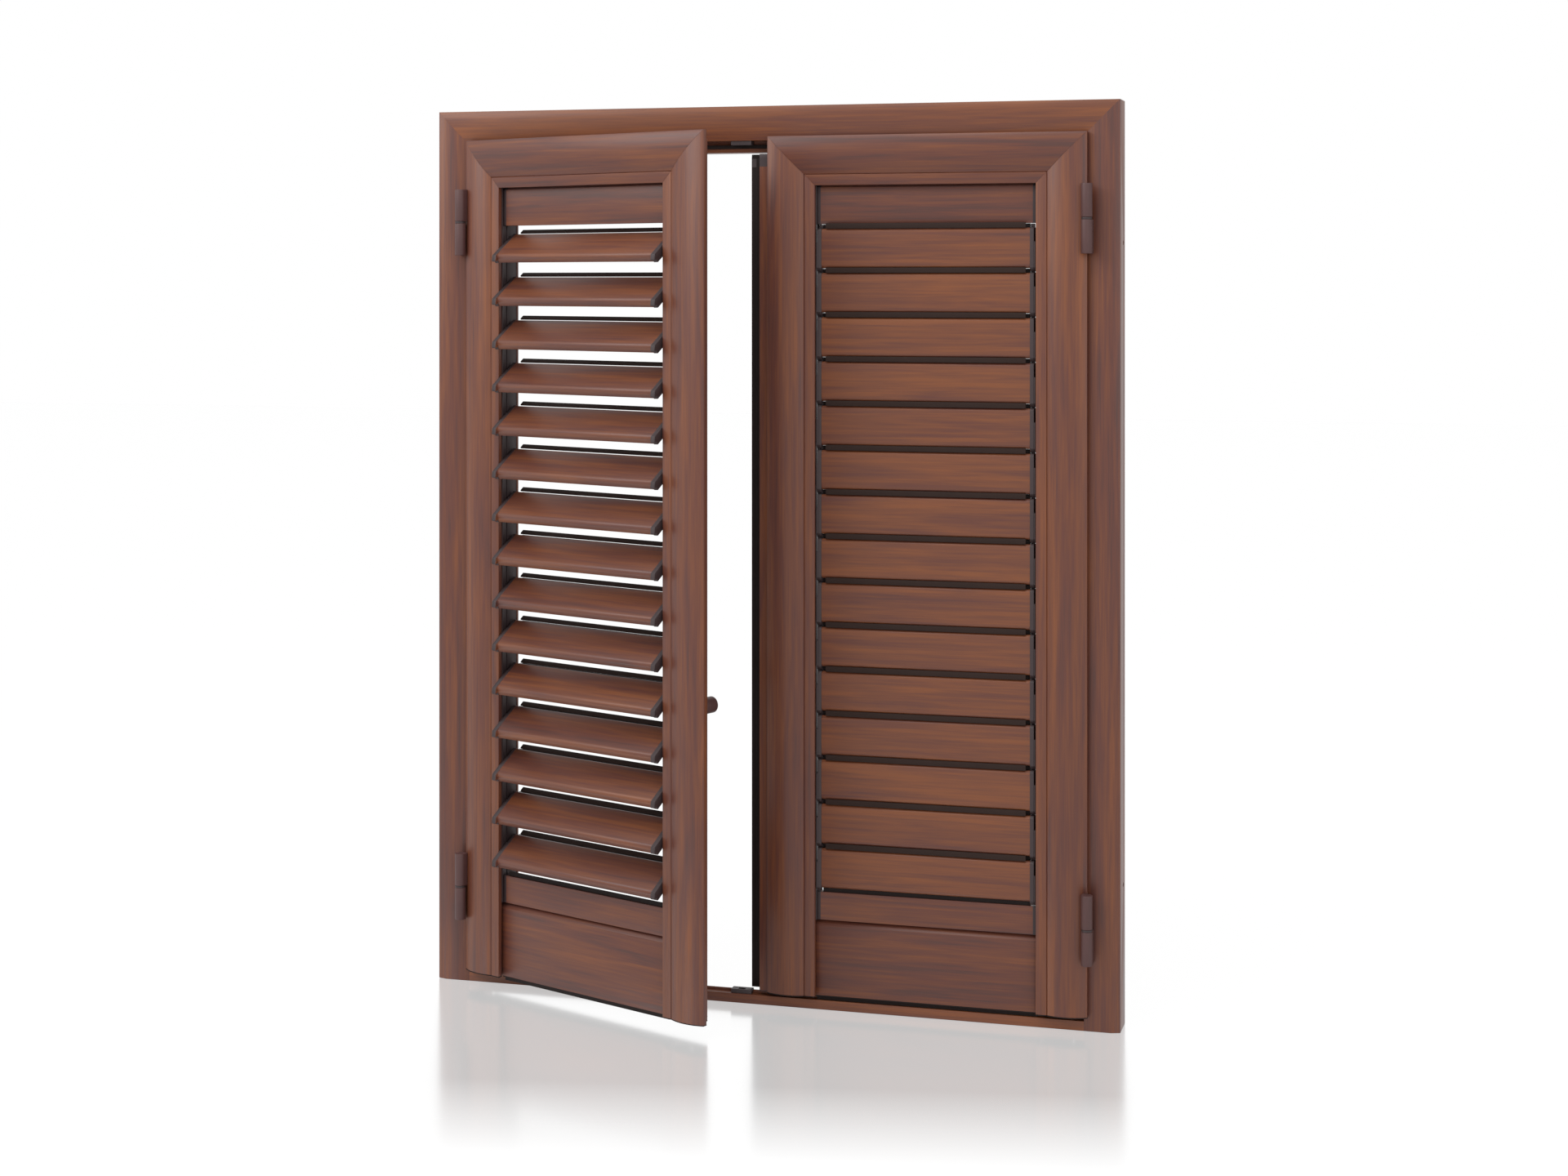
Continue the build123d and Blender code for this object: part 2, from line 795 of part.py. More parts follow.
def leaf_hinge_halves(leaf, hinge_stile):
    """The upper knuckle of each hinge, its wing cut to the arched face of the stile."""
    wing_reach = pin_proud - leaf_standoff - flange_thickness - wing_skin
    bore = (hinge_pin_radius + hinge_pin_clearance) / math.cos(math.pi / hinge_pin_sides)
    pieces = []
    for middle in hinge_heights:
        mouth = middle + washer_thickness / 2 + running_clearance
        top = middle + barrel_length / 2
        bore_top = middle - washer_thickness / 2 + hinge_pin_length + running_clearance
        barrel = knuckle(leaf, (0, 0), mouth, top, (pin_to_edge, 0), (hinge_wing, wing_reach))
        with BuildPart() as half:
            add(barrel.part)
            with BuildSketch(leaf.upright(mouth, bore_top)):
                RegularPolygon(bore, hinge_pin_sides)
            extrude(amount=bore_top - mouth, mode=Mode.SUBTRACT)
            add(hinge_stile.part, mode=Mode.SUBTRACT)
        pieces.append(half.part)
    return pieces


def handle_plate(leaf):
    """The handle's long plate, tapered to both ends, on the inner face of the free stile."""
    half = plate_length / 2
    waist = plate_middle / 2
    near = handle_x - plate_width / 2
    with BuildPart() as plate:
        with BuildSketch(leaf.across(near, near + plate_width, y=inner_face, z=handle_height)):
            outline(
                [
                    (0, -half),
                    (plate_tip_thickness, -half),
                    (plate_thickness, -waist),
                    (plate_thickness, waist),
                    (plate_tip_thickness, half),
                    (0, half),
                ]
            )
        extrude(amount=plate_width)
        with BuildSketch(leaf.facing(handle_x, inner_face, handle_height)):
            outline(
                [
                    (-plate_width / 2, -waist),
                    (-plate_tip_width / 2, -half),
                    (plate_tip_width / 2, -half),
                    (plate_width / 2, -waist),
                    (plate_width / 2, waist),
                    (plate_tip_width / 2, half),
                    (-plate_tip_width / 2, half),
                    (-plate_width / 2, waist),
                ]
            )
        extrude(amount=-plate_thickness, mode=Mode.INTERSECT)
        with BuildSketch(leaf.facing(handle_x, inner_face, handle_height)):
            Circle(spindle_hole)
        extrude(amount=-plate_thickness, mode=Mode.SUBTRACT)
    return plate


def handle_lever(leaf):
    """The lever: hub, spindle through the plate, and an arm that lies level when unlocked."""
    hub_foot = inner_face + plate_thickness + running_clearance
    hub_top = inner_face + hub_reach
    arm_foot = hub_top - lever_thickness
    with BuildPart() as lever:
        with BuildSketch(leaf.facing(handle_x, hub_foot, handle_height)):
            Circle(hub_radius)
        extrude(amount=hub_foot - hub_top)
        with BuildSketch(leaf.facing(handle_x, arm_foot, handle_height)):
            tip = lever_tip_height / 2
            outline(
                [
                    (0, -lever_height / 2),
                    (0, lever_height / 2),
                    (tip - lever_length, tip),
                    (tip - lever_length, -tip),
                ]
            )
            with Locations((tip - lever_length, 0)):
                Circle(tip)
        extrude(amount=-lever_thickness)
        with BuildSketch(leaf.facing(handle_x, inner_face - spindle_depth, handle_height)):
            Rectangle(spindle_width, spindle_width)
        extrude(amount=inner_face - spindle_depth - hub_foot)
    return lever


def lock_rod(leaf, low, high):
    """A flat lock rod that slides up and down in the free stile."""
    with BuildPart() as rod:
        with BuildSketch(leaf.upright(low, high)):
            with Locations((lock_rod_x, pin_proud + rod_line)):
                Rectangle(lock_rod_width, lock_rod_thickness)
        extrude(amount=high - low)
    return rod


def astragal_outline():
    """The astragal's section: it repeats the jamb's rebate and stop for the left leaf."""
    stop = -astragal_step - astragal_stop
    outline(
        [
            free_place(-astragal_step, 0),
            free_place(flange_reach, 0),
            free_place(flange_reach, shoulder_depth),
            free_place(body_edge, shoulder_depth),
            free_place(body_edge, profile_back),
            free_place(stop, profile_back),
            free_place(stop, rebate_depth),
            free_place(-astragal_step, rebate_depth),
        ]
    )


def astragal(leaf):
    """The tubular astragal on the right leaf's meeting stile, its two caps and its gasket."""
    top = leaf_top - body_edge
    bands = (
        (leaf_bottom - end_cap_thickness, leaf_bottom, False),
        (leaf_bottom, top - astragal_cap_thickness, True),
        (top - astragal_cap_thickness, top, False),
    )
    pieces = []
    for low, high, is_tube in bands:
        with BuildPart() as band:
            with BuildSketch(leaf.upright(low, high)):
                astragal_outline()
                if is_tube:
                    hollow(profile_wall)
            extrude(amount=high - low)
        pieces.append(band.part)
    low, high = bands[1][:2]
    with BuildPart() as gasket:
        with BuildSketch(leaf.upright(low, high)):
            room = rebate_depth - shoulder_depth - running_clearance
            with Locations(free_place(-astragal_step - astragal_gasket_inset, rebate_depth)):
                Rectangle(gasket_width, room, align=(Align.MIN, Align.MAX))
        extrude(amount=high - low)
    return pieces + [gasket.part]


def make_leaf(leaf, tilt, has_lock):
    """One leaf with everything that it carries, each piece in its own file."""

    def keep(pieces, name):
        save(Compound(children=pieces), f"{leaf.name}_{name}")

    hinge_stile = stile(leaf, hinge_place, pin_to_edge, 1)
    free_profile = stile(leaf, free_place, edge_to_pin, -1)
    top_profile = top_rail(leaf)
    with BuildPart() as free_stile:
        add(free_profile.part)
        if has_lock:
            with BuildSketch(leaf.facing(handle_x, inner_face, handle_height)) as opening:
                Rectangle(2 * spindle_hole, plate_middle)
            extrude(opening.sketch, amount=2 * profile_wall, mode=Mode.SUBTRACT)
    with BuildPart() as top:
        add(top_profile.part)
        if has_lock:
            side_top = leaf_top - flange_reach
            reach = 2 * profile_wall
            lock_hole(leaf, side_top - reach, side_top + reach, rod_hole_clearance)
    save(hinge_stile.part, f"{leaf.name}_hinge_stile")
    save(free_stile.part, f"{leaf.name}_free_stile")
    save(top.part, f"{leaf.name}_top_rail")
    save(bottom_rail(leaf).part, f"{leaf.name}_bottom_rail")
    save(fixed_strips(leaf).part, f"{leaf.name}_fixed_strips")
    save(slat_guides(leaf).part, f"{leaf.name}_slat_guides")
    strip_seal = slat_seal(leaf, slats_bottom - slat_height / 2, 0)
    keep(bottom_seals(leaf, has_lock) + [strip_seal], "bottom_seals")
    keep(leaf_hinge_halves(leaf, hinge_stile), "leaf_hinge_halves")
    save(tilt_rod(leaf, tilt).part, f"{leaf.name}_tilt_rod")
    for row, height in enumerate(pivot_heights):
        keep(slat_pieces(leaf, height, tilt), f"slat_{row + 1:02d}")


def make_lock(leaf):
    """The handle and the two lock rods of the left leaf."""
    save(handle_plate(leaf).part, "handle_plate")
    save(handle_lever(leaf).part, "handle_lever")
    foot = leaf_bottom - end_cap_thickness + rod_tip_recess
    head = leaf_top - flange_reach - rod_tip_recess
    save(lock_rod(leaf, foot, handle_height - lock_rod_start).part, "lower_lock_rod")
    save(lock_rod(leaf, handle_height + lock_rod_start, head).part, "upper_lock_rod")


make_jamb(frame_left)
make_jamb(frame_right)
make_head()
make_frame_gasket()
make_keepers(make_threshold())
save(Compound(children=frame_hinge_halves()), "frame_hinge_halves")
make_leaf(left_leaf, open_tilt, True)
make_leaf(right_leaf, 0, False)
make_lock(left_leaf)
save(Compound(children=astragal(right_leaf)), "right_astragal")
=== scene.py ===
"""Louvred shutters in walnut-effect aluminium: finishes, fine shapes, studio and camera."""

import json
import math

import bpy
from mathutils import Matrix, Vector


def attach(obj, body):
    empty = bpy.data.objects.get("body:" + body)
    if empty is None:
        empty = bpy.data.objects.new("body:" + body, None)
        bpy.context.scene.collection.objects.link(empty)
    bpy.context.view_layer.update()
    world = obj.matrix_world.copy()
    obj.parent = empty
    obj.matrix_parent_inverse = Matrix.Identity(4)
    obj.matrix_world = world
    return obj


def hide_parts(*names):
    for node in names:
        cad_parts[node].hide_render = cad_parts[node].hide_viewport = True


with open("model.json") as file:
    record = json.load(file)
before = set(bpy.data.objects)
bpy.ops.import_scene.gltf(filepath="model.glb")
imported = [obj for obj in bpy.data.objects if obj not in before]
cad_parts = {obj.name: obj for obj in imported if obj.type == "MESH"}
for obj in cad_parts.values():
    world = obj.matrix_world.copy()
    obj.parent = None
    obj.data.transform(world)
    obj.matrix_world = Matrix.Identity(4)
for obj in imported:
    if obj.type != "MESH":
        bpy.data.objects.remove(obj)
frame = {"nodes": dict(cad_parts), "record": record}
nodes = frame["nodes"]
bodies = frame["record"]["behaviour"]["bodies"]
body_of = {node: body for body, members in bodies.items() for node in members}
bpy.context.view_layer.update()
bpy.ops.object.select_all(action="DESELECT")


# The frame: two jambs and a head, extruded aluminium tube mitred at the top corners. A printed
# film gives the profiles the look of dark walnut, with its grain along each length, and the
# saw-cut mitres and the bevel round the outer face catch a thin line of light.

# The film's tones from purple to gold brown, each with the level of the grain where it lies.
film_tones = (
    (0.36, "#58362f"),
    (0.44, "#683b2f"),
    (0.50, "#71412e"),
    (0.56, "#7b472e"),
    (0.65, "#884f2e"),
)
# The width, length, detail and bend of the film's broad figure, its streaks and its pores. The
# pores are drawn 1 mm wide to show.
film_layers = ((0.018, 0.30, 3, 0.6), (0.0042, 0.14, 4, 0.2), (0.0011, 0.05, 2, 0))
streak_share = 0.42
pore_share = 0.16
merge_gap = 0.00001
flat_angle = math.radians(0.5)
sharp_angle = math.radians(35)


def linear(colour):
    """An sRGB hex colour as the linear RGBA that a shader takes."""
    parts = [int(colour[i:i + 2], 16) / 255 for i in (1, 3, 5)]
    return [p / 12.92 if p <= 0.04045 else ((p + 0.055) / 1.055) ** 2.4 for p in parts] + [1]


def add_node(material, kind, inputs=None, **settings):
    """Adds a node: settings go on the node, inputs on its sockets, as values or as links."""
    node = material.node_tree.nodes.new("ShaderNode" + kind)
    for name, value in settings.items():
        setattr(node, name, value)
    for name, value in (inputs or {}).items():
        if isinstance(value, bpy.types.NodeSocket):
            material.node_tree.links.new(value, node.inputs[name])
        else:
            node.inputs[name].default_value = value
    return node


def feed(material, shader, sources):
    """Links the first output of each source to the shader's socket of that name."""
    for name, source in sources.items():
        material.node_tree.links.new(source.outputs[0], shader.inputs[name])


def new_material(name):
    """A node material and its shader, at the default settings."""
    material = bpy.data.materials.new(name)
    material.use_nodes = True
    return material, material.node_tree.nodes["Principled BSDF"]


def walnut_film(name, upright, turn=0, seed=0, painted_light_shift=0):
    """Printed walnut film, satin: soft purple to gold patches, streaked along the grain, shifted
    as painted light.
    """
    material, shader = new_material(name)
    place = add_node(material, "TexCoord")
    turned = add_node(material, "Mapping", {
        "Vector": place.outputs["Object"],
        "Rotation": (0, 0, turn),
    })
    layers = []
    for width, length, detail, bend in film_layers:
        stretch = width / length
        along = add_node(material, "Mapping", {
            "Vector": turned.outputs[0],
            "Scale": (1, 1, stretch) if upright else (stretch, 1, 1),
            "Location": (seed, seed, seed),
        })
        noise = add_node(material, "TexNoise", {
            "Vector": along.outputs[0],
            "Scale": 1 / width,
            "Detail": detail,
            "Roughness": 0.55,
            "Distortion": bend,
        })
        layers.append(noise.outputs["Fac"])
    figure, streaks, pores = layers
    streaked = add_node(material, "Mix", {
        "Factor": streak_share, "A": figure, "B": streaks,
    }, data_type="FLOAT")
    grain = add_node(material, "Mix", {
        "Factor": pore_share, "A": streaked.outputs[0], "B": pores,
    }, data_type="FLOAT")
    tone = add_node(material, "ValToRGB", {"Fac": grain.outputs[0]})
    stops = tone.color_ramp.elements
    while len(stops) < len(film_tones):
        stops.new(0.5)
    # Every tone moves by the same shift, which paints a whole piece lighter or darker: painted
    # light and shade.
    for stop, (level, colour) in zip(stops, film_tones):
        stop.position = level - painted_light_shift
        stop.color = linear(colour)
    sheen = add_node(material, "MapRange", {"Value": streaks, "To Min": 0.36, "To Max": 0.48})
    dents = add_node(material, "Bump", {"Height": pores, "Strength": 0.12, "Distance": 0.0002})
    feed(material, shader, {"Base Color": tone, "Roughness": sheen, "Normal": dents})
    return material


def alone(piece):
    """Selects one piece, with nothing else, and makes it active."""
    bpy.ops.object.select_all(action="DESELECT")
    piece.select_set(True)
    bpy.context.view_layer.objects.active = piece


def edit_all(piece):
    """Opens one piece in edit mode with all of it selected."""
    alone(piece)
    bpy.ops.object.mode_set(mode="EDIT")
    bpy.ops.mesh.select_all(action="SELECT")


def soften(piece, width, segments=2):
    """Rounds the sharp edges of a piece."""
    alone(piece)
    bevel = piece.modifiers.new("edge", "BEVEL")
    bevel.width = width
    bevel.segments = segments
    bevel.limit_method = "ANGLE"
    bevel.angle_limit = sharp_angle
    bpy.ops.object.modifier_apply(modifier=bevel.name)


def dressed(name, material, edge=0.00035):
    """A smooth copy of a solid, with whole faces and lightly rounded edges, in place of it."""
    piece = nodes[name].copy()
    piece.data = piece.data.copy()
    for key in list(piece.keys()):
        del piece[key]
    piece.parent = None
    piece.name = name + "_shown"
    bpy.context.collection.objects.link(piece)
    piece.data.materials.clear()
    piece.data.materials.append(material)
    edit_all(piece)
    bpy.ops.mesh.remove_doubles(threshold=merge_gap)
    bpy.ops.mesh.dissolve_limited(angle_limit=flat_angle)
    bpy.ops.object.mode_set(mode="OBJECT")
    if edge:
        soften(piece, edge)
    bpy.ops.object.shade_smooth_by_angle(angle=sharp_angle)
    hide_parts(name)
    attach(piece, body_of[name])
    return piece


def finish_faces(piece, material, chosen):
    """Gives a second finish to the faces whose middle is chosen."""
    piece.data.materials.append(material)
    last = len(piece.data.materials) - 1
    for face in piece.data.polygons:
        if chosen(face.center):
            face.material_index = last


# The jambs' film is shifted darker as painted shade, and the head's lighter as painted light from
# above.
jamb_film = walnut_film("walnut_film_on_jambs", True, painted_light_shift=-0.03)
head_film = walnut_film("walnut_film_on_head", False, painted_light_shift=0.06)
dressed("left_jamb", jamb_film)
dressed("right_jamb", jamb_film)
dressed("head", head_film)


# The threshold: an extruded aluminium ledge with a thin upstand lip, in the same film, laid
# between the jambs. The lip takes the seal of the shut leaves.
fine_edge = 0.0002
# It takes the head's film, with the head's painted light.
dressed("threshold", head_film, edge=fine_edge)


# The keepers and the slats' guides are moulded in near-black nylon, which has a faint grain
# and a dull sheen. The keepers are screwed to the threshold and the head, the guides lie in
# the stiles' channels, and each tilt rod hangs on the crank pins of its leaf's slats.
cloud_width = 0.025


def plain_finish(name, colour, grit, dullest=0.62, shine=0.5):
    """One plain colour, a little cloudy, with a fine matt grain that is drawn coarse to show."""
    material, shader = new_material(name)
    place = add_node(material, "TexCoord").outputs["Object"]
    grain = add_node(material, "TexNoise", {"Vector": place, "Scale": 1 / grit, "Detail": 2})
    clouds = add_node(material, "TexNoise", {
        "Vector": place, "Scale": 1 / cloud_width, "Detail": 3,
    })
    value = add_node(material, "MapRange", {
        "Value": clouds.outputs["Fac"], "To Min": 0.85, "To Max": 1.15,
    })
    tone = add_node(material, "HueSaturation", {
        "Color": linear(colour), "Value": value.outputs[0],
    })
    dull = add_node(material, "MapRange", {
        "Value": grain.outputs["Fac"], "To Min": dullest - 0.17, "To Max": dullest,
    })
    rough = add_node(material, "Bump", {
        "Height": grain.outputs["Fac"], "Strength": 0.1, "Distance": 0.0002,
    })
    feed(material, shader, {"Base Color": tone, "Roughness": dull, "Normal": rough})
    shader.inputs["Specular IOR Level"].default_value = shine
    return material


black_nylon = plain_finish("moulded_black_nylon", "#3a2d2e", grit=0.0008)
for name in (
    "lock_keepers", "left_slat_guides", "right_slat_guides", "left_tilt_rod", "right_tilt_rod",
):
    dressed(name, black_nylon, edge=fine_edge)


# The gaskets and the seals under the leaves are extruded black rubber, pushed into grooves.
# The rubber is matt and nearly swallows the light, so that a joint reads as a dark line.
rubber = plain_finish("extruded_black_rubber", "#211816", grit=0.0005, dullest=0.85, shine=0.3)
for name in ("frame_gasket", "left_bottom_seals", "right_bottom_seals"):
    dressed(name, rubber, edge=0)


# The leaves: arched tubular profiles, mitred at the top, with a wide bottom rail and fixed
# strips above and below the slats, all in the same walnut film with its grain along each one.
# Black nylon plugs close the ends of the fixed strips.
leaf_swing = math.radians(22.6)
ajar_middle = Vector((-0.24036, -0.11175, 0))
shut_middle = Vector((0.2305, -0.0230, 0))
strip_half = 0.15675
plug_width = 0.0065
plug_foot = strip_half - plug_width


def leaf_axes(side):
    """The middle of a leaf's slats, on the floor, and its ways to the free edge and inwards."""
    if side == "right":
        return shut_middle, Vector((-1, 0, 0)), Vector((0, 1, 0))
    cos, sin = math.cos(leaf_swing), math.sin(leaf_swing)
    return ajar_middle, Vector((cos, -sin, 0)), Vector((sin, cos, 0))


def cut_across(piece, point, normal):
    """Cuts new edges round a piece where a plane meets it, and leaves nothing selected on it."""
    edit_all(piece)
    bpy.ops.mesh.bisect(plane_co=point, plane_no=normal)
    bpy.ops.mesh.select_all(action="DESELECT")
    bpy.ops.object.mode_set(mode="OBJECT")


stile_film = walnut_film("walnut_film_on_stiles", True, seed=1.7)
# The rails' film is shifted darker, as painted shade.
rail_films = {
    "left": walnut_film("walnut_film_on_ajar_rails", False, leaf_swing, seed=3.1, painted_light_shift=-0.04),
    "right": walnut_film("walnut_film_on_shut_rails", False, painted_light_shift=-0.04),
}
for side, rail_film in rail_films.items():
    middle, along, _ = leaf_axes(side)
    for name in ("hinge_stile", "free_stile"):
        dressed(f"{side}_{name}", stile_film)
    for name in ("top_rail", "bottom_rail"):
        dressed(f"{side}_{name}", rail_film)
    strips = dressed(f"{side}_fixed_strips", rail_film)
    for end in (-1, 1):
        cut_across(strips, middle + along * end * plug_foot, along)
    finish_faces(strips, black_nylon, lambda p: abs((p - middle).dot(along)) > plug_foot)


# The astragal: a tube screwed to the right leaf's meeting stile, in the same film. Black
# nylon caps close its ends, and a rubber gasket lies in front for the left leaf.
astragal_cap_foot = 1.184
astragal_foot = 0.0206
gasket_span = (-0.0190, -0.0130)
gasket_depth = (-0.0100, -0.0069)
astragal = dressed("right_astragal", stile_film)
cut_across(astragal, (0, 0, astragal_cap_foot), (0, 0, 1))
finish_faces(astragal, black_nylon, lambda p: p.z > astragal_cap_foot or p.z < astragal_foot)
finish_faces(astragal, rubber, lambda p: (
    gasket_span[0] < p.x < gasket_span[1] and gasket_depth[0] < p.y < gasket_depth[1]
))


# The slats: extruded tubes in walnut film, with a rounded nose and a bevelled top edge. A
# moulded black nylon cap closes each end and turns on a pin, and a rubber seal stands on top
# and leans its lip forwards, under the nose of the slat above.
open_tilt = math.radians(53)
first_pivot = 1.06775
slat_pitch = 0.062
slats_a_leaf = 15
# Lengths are from a slat's middle, and depths and heights are from its pivot.
slat_half = 0.15295
cap_thickness = 0.0055
film_half = slat_half - cap_thickness
cap_front = -0.0095
cap_back = 0.0035
cap_height = 0.02825
foot_back = -0.002
foot_low = -0.03215
toe = 0.0055
wing_top = 0.009
wing_thickness = 0.0019
ridge_front = -0.0006
ridge_height = 0.0053
flange_front = 0.0015
side_overlap = 0.0004
foot_overlap = 0.0006
seal_foot = 0.0279
lip_half = 0.1415
lip_front = -0.0062
lip_back = -0.0040
lip_top = 0.0354
lip_lean = 0.0031
moulded_edge = 0.0004
ridge_edge = 0.0008


def shaped_block(name, low, high):
    """A cube between two corners, for a cap's part, in the slat's own directions."""
    bpy.ops.object.select_all(action="DESELECT")
    bpy.ops.mesh.primitive_cube_add(size=1)
    block = bpy.context.active_object
    block.name = name
    block.scale = [b - a for a, b in zip(low, high)]
    block.location = [(a + b) / 2 for a, b in zip(low, high)]
    bpy.ops.object.transform_apply(location=True, rotation=True, scale=True)
    return block


wing = shaped_block(
    "cap_wing",
    (slat_half, cap_front, -cap_height),
    (slat_half + wing_thickness, cap_back, wing_top),
)
cut_across(wing, (0, foot_back, 0), (0, 1, 0))
for face in wing.data.polygons:
    face.select = face.normal.z < -0.9 and face.center.y < foot_back
bpy.ops.object.mode_set(mode="EDIT")
bpy.ops.mesh.extrude_region_move(TRANSFORM_OT_translate={"value": (0, 0, foot_low + cap_height)})
bpy.ops.mesh.select_all(action="SELECT")
bpy.ops.mesh.bisect(
    plane_co=(0, cap_front, foot_low + toe),
    plane_no=(0, -1, -1),
    use_fill=True,
    clear_outer=True,
)
bpy.ops.object.mode_set(mode="OBJECT")
soften(wing, moulded_edge)
ridge = shaped_block(
    "cap_ridge",
    (film_half - side_overlap, ridge_front, cap_height - foot_overlap),
    (slat_half, cap_back, cap_height + ridge_height),
)
soften(ridge, ridge_edge, 3)
flange = shaped_block(
    "cap_flange",
    (slat_half - side_overlap, flange_front, wing_top - foot_overlap),
    (slat_half + wing_thickness, cap_back, cap_height),
)
soften(flange, moulded_edge)
cap_parts = (wing, ridge, flange)
lip = shaped_block("seal_lip", (-lip_half, lip_front, seal_foot), (lip_half, lip_back, lip_top))
for face in lip.data.polygons:
    face.select = face.normal.z > 0.9
bpy.ops.object.mode_set(mode="EDIT")
bpy.ops.transform.translate(value=(0, -lip_lean, 0))
bpy.ops.object.mode_set(mode="OBJECT")
soften(lip, moulded_edge)


def laid_copy(part, name, material, matrix):
    """A copy of a moulded part, laid in place and turned the right way out."""
    piece = part.copy()
    piece.data = part.data.copy()
    piece.name = name
    bpy.context.collection.objects.link(piece)
    piece.data.materials.clear()
    piece.data.materials.append(material)
    piece.data.transform(matrix)
    if matrix.determinant() < 0:
        piece.data.flip_normals()
    return piece


# The shut slats' film is shifted lighter, as painted light on their recessed faces.
slat_films = {
    "left": walnut_film("walnut_film_on_open_slats", False, leaf_swing, seed=5.3),
    "right": walnut_film("walnut_film_on_shut_slats", False, seed=7.9, painted_light_shift=0.05),
}
# The lip is of a brown-black rubber, as matt, that takes a little light where it stands out.
lip_rubber = plain_finish(
    "extruded_brown_rubber", "#2f201b", grit=0.0005, dullest=0.85, shine=0.3,
)


def slat(side, row):
    """One slat: its film, caps and seal, with the trim on its caps and the lip on its seal."""
    name = f"{side}_slat_{row:02d}"
    tilt = open_tilt if side == "left" else 0
    middle, along, inward = leaf_axes(side)
    up = Vector((0, 0, 1))
    deep = inward * math.cos(tilt) - up * math.sin(tilt)
    high = inward * math.sin(tilt) + up * math.cos(tilt)
    pivot = middle + up * (first_pivot - slat_pitch * (row - 1))
    piece = dressed(name, slat_films[side], edge=fine_edge)
    finish_faces(piece, black_nylon, lambda p: abs((p - pivot).dot(along)) > film_half)
    finish_faces(piece, rubber, lambda p: (
        (p - pivot).dot(high) > seal_foot and abs((p - pivot).dot(along)) < film_half
    ))
    trims = []
    for end in (-1, 1):
        matrix = Matrix((along * end, deep, high)).transposed().to_4x4()
        matrix.translation = pivot
        for part in cap_parts:
            trims.append(laid_copy(part, f"{name}_{part.name}", black_nylon, matrix))
    trims.append(laid_copy(lip, f"{name}_lip", lip_rubber, matrix))
    alone(piece)
    for trim in trims:
        trim.select_set(True)
    bpy.ops.object.join()
    bpy.ops.object.shade_smooth_by_angle(angle=sharp_angle)


for row in range(1, slats_a_leaf + 1):
    slat("left", row)
    slat("right", row)
for part in (*cap_parts, lip):
    bpy.data.objects.remove(part)


# The hinges: turned aluminium barrels on wings, with their ends broken, in a satin brown
# lacquer that looks smooth and a little pink beside the film. A dark nylon washer carries each
# upper knuckle on its pin.
lacquer = plain_finish("brown_lacquer", "#553836", grit=0.002)
barrel_edge = 0.0007
washer_heights = (0.142, 1.1075)
washer_half = 0.00155
hinges = dressed("frame_hinge_halves", lacquer, edge=barrel_edge)
finish_faces(hinges, black_nylon, lambda p: (
    min(abs(p.z - height) for height in washer_heights) < washer_half
))
for name in ("left_leaf_hinge_halves", "right_leaf_hinge_halves"):
    dressed(name, lacquer, edge=barrel_edge)


# The handle on the left leaf's inner face: a die-cast plate and lever, lacquered as the hinges
# are. The two lock rods that it moves are plain drawn aluminium bars, whose die lines streak
# the gloss along them. The lines are drawn 0.4 mm apart to show.
dressed("handle_plate", lacquer, edge=0.0012)
dressed("handle_lever", lacquer, edge=0.0016)
die_line = 0.0004
drawn, drawn_shader = new_material("drawn_aluminium")
place = add_node(drawn, "TexCoord")
lengthwise = add_node(drawn, "Mapping", {"Vector": place.outputs["Object"], "Scale": (1, 1, 0.02)})
lines = add_node(drawn, "TexNoise", {
    "Vector": lengthwise.outputs[0], "Scale": 1 / die_line, "Detail": 2,
})
polish = add_node(drawn, "MapRange", {
    "Value": lines.outputs["Fac"], "To Min": 0.28, "To Max": 0.46,
})
feed(drawn, drawn_shader, {"Roughness": polish})
drawn_shader.inputs["Base Color"].default_value = linear("#b9b9bb")
drawn_shader.inputs["Metallic"].default_value = 1
for name in ("upper_lock_rod", "lower_lock_rod"):
    dressed(name, drawn, edge=0.0004)


# The studio: a white floor with a soft reflection that fades out towards the camera, a white
# background, and soft light from all round with more from the upper left.
reflection_turn = math.radians(-11)
reflection_end = -0.650
reflection_full = -0.375
reflection_share = 0.475
glow_strength = 1.06
shadow_share = 0.1
white = (1, 1, 1, 1)
floor_grey = (0.9, 0.9, 0.9, 1)
surround_light = 0.48
lamp_aim = Vector((0, 0, 0.6))


def looked_at(material):
    """1 for a ray from the camera, a gloss or a clear piece, and 0 for a ray of light."""
    path = add_node(material, "LightPath")
    looks = add_node(material, "Math", {
        0: path.outputs["Is Camera Ray"], 1: path.outputs["Is Glossy Ray"],
    }, operation="MAXIMUM")
    return add_node(material, "Math", {
        0: looks.outputs[0], 1: path.outputs["Is Transmission Ray"],
    }, operation="MAXIMUM").outputs[0]


bpy.ops.object.select_all(action="DESELECT")
bpy.ops.mesh.primitive_plane_add(size=30, location=(0, 0, -0.0005))
floor = bpy.context.active_object
floor.name = "floor"
bpy.ops.object.transform_apply(location=True, rotation=True, scale=True)
floor_material, floor_shader = new_material("white_studio_floor")
floor_material.node_tree.nodes.remove(floor_shader)
place = add_node(floor_material, "TexCoord")
turned = add_node(floor_material, "Mapping", {
    "Vector": place.outputs["Object"], "Rotation": (0, 0, reflection_turn),
})
parts = add_node(floor_material, "SeparateXYZ", {"Vector": turned.outputs[0]})
fade = add_node(floor_material, "MapRange", {
    "Value": parts.outputs["Y"],
    "From Min": reflection_end,
    "From Max": reflection_full,
    "To Min": 0,
    "To Max": reflection_share,
})
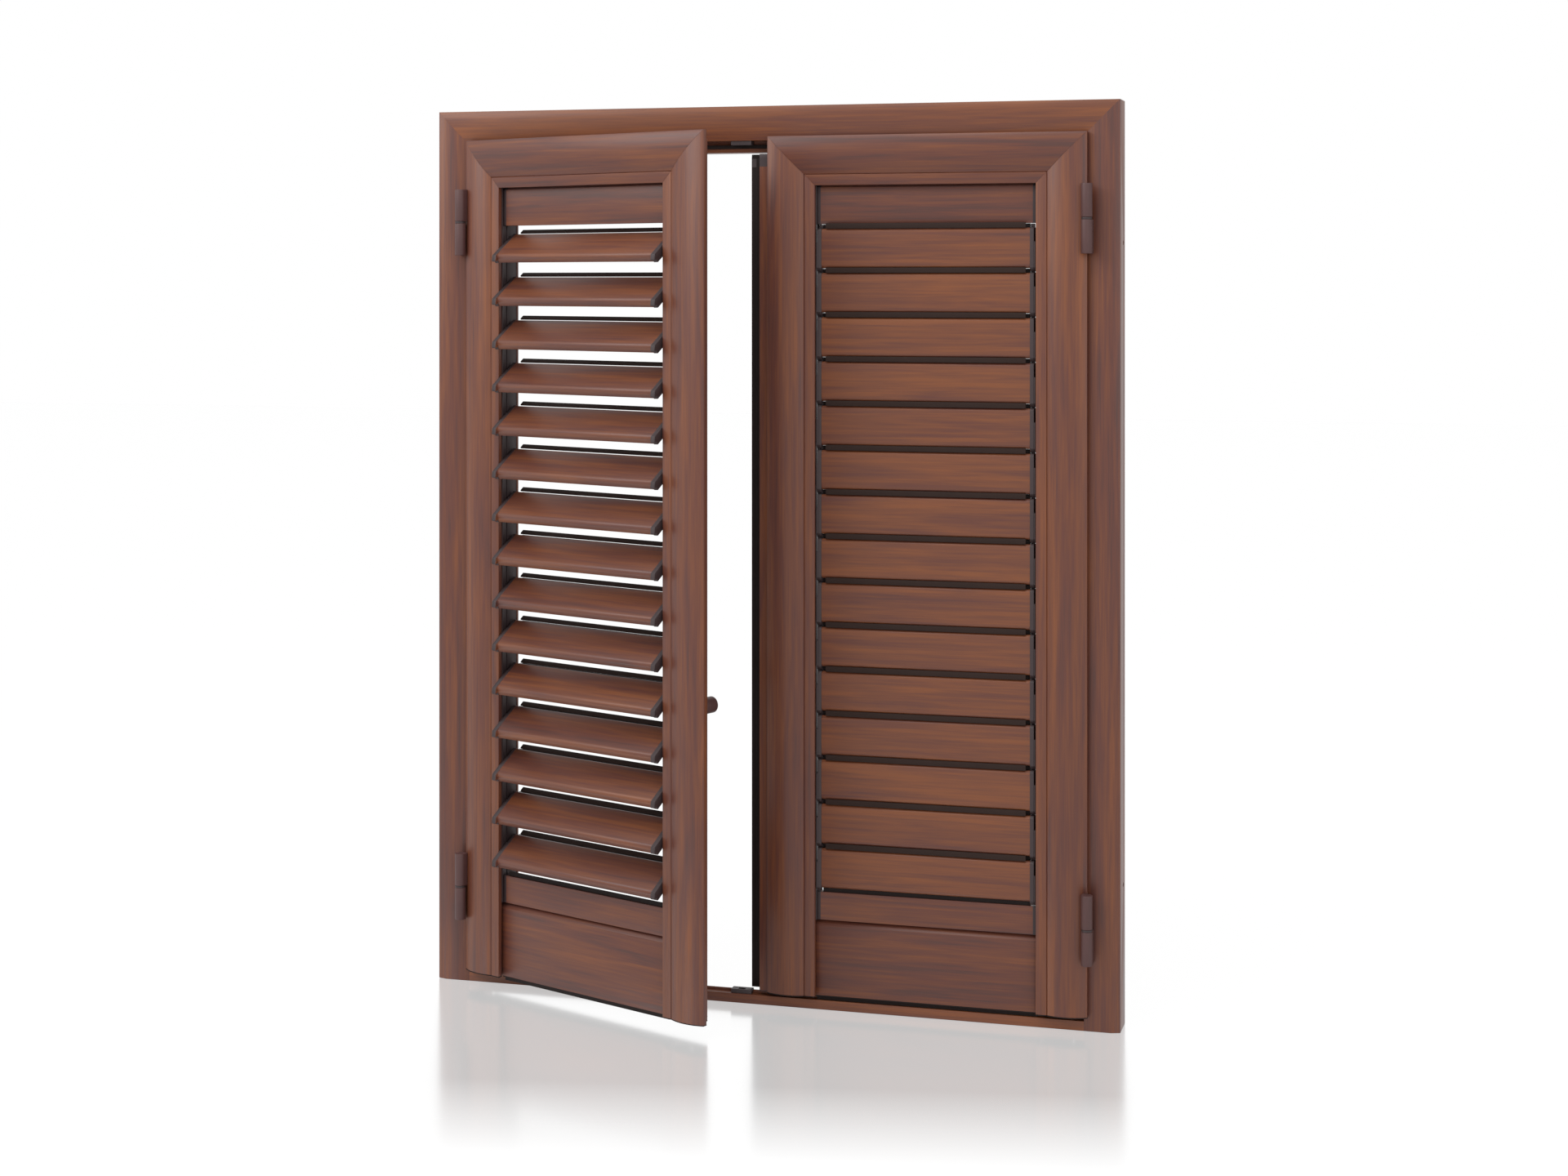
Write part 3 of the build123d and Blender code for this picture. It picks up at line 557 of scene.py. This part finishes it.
# To the eye the floor glows white under a tenth of its shadow, and to the light it is matt.
glow = add_node(floor_material, "Emission", {"Color": white, "Strength": glow_strength})
matt = add_node(floor_material, "BsdfDiffuse", {"Color": floor_grey})
gloss = add_node(floor_material, "BsdfAnisotropic", {"Color": white, "Roughness": 0.16})
body = add_node(floor_material, "MixShader", {
    "Fac": shadow_share, 1: glow.outputs[0], 2: matt.outputs[0],
})
top = add_node(floor_material, "MixShader", {
    "Fac": fade.outputs[0], 1: body.outputs[0], 2: gloss.outputs[0],
})
floor_seen = add_node(floor_material, "MixShader", {
    "Fac": looked_at(floor_material), 1: matt.outputs[0], 2: top.outputs[0],
})
feed(floor_material, floor_material.node_tree.nodes["Material Output"], {"Surface": floor_seen})
floor.data.materials.append(floor_material)

world = bpy.data.worlds.new("studio")
bpy.context.scene.world = world
world.use_nodes = True
background = world.node_tree.nodes["Background"]
strength = add_node(world, "MapRange", {
    "Value": looked_at(world), "To Min": surround_light, "To Max": 1,
})
feed(world, background, {"Strength": strength})
background.inputs["Color"].default_value = white

for name, place, size, power in (
    ("key_lamp", (-2.6, -2.1, 2.7), 1.6, 42),
    ("fill_lamp", (2.4, -2.6, 1.8), 2.0, 14),
    ("top_lamp", (-0.2, -1.2, 3.2), 1.6, 22),
):
    lamp = bpy.data.lights.new(name, "AREA")
    lamp.shape = "SQUARE"
    lamp.size = size
    lamp.energy = power
    holder = bpy.data.objects.new(name, lamp)
    bpy.context.collection.objects.link(holder)
    holder.location = place
    holder.rotation_euler = (lamp_aim - Vector(place)).to_track_quat("-Z", "Y").to_euler()

# The camera stands level, which keeps uprights upright, and its shift frames the photograph.
view_across = 0.270
view_inwards = 0.963
camera = bpy.data.cameras.new("camera")
camera.sensor_width = 36
camera.lens = 57.02
camera.shift_x = 0.0013
camera.shift_y = -0.1963
viewer = bpy.data.objects.new("camera", camera)
bpy.context.collection.objects.link(viewer)
viewer.location = (0.9686, -3.3958, 1.0235)
viewer.rotation_euler = (math.radians(90), 0, math.atan2(view_across, view_inwards))
bpy.context.scene.camera = viewer
bpy.context.scene.view_settings.view_transform = "Standard"
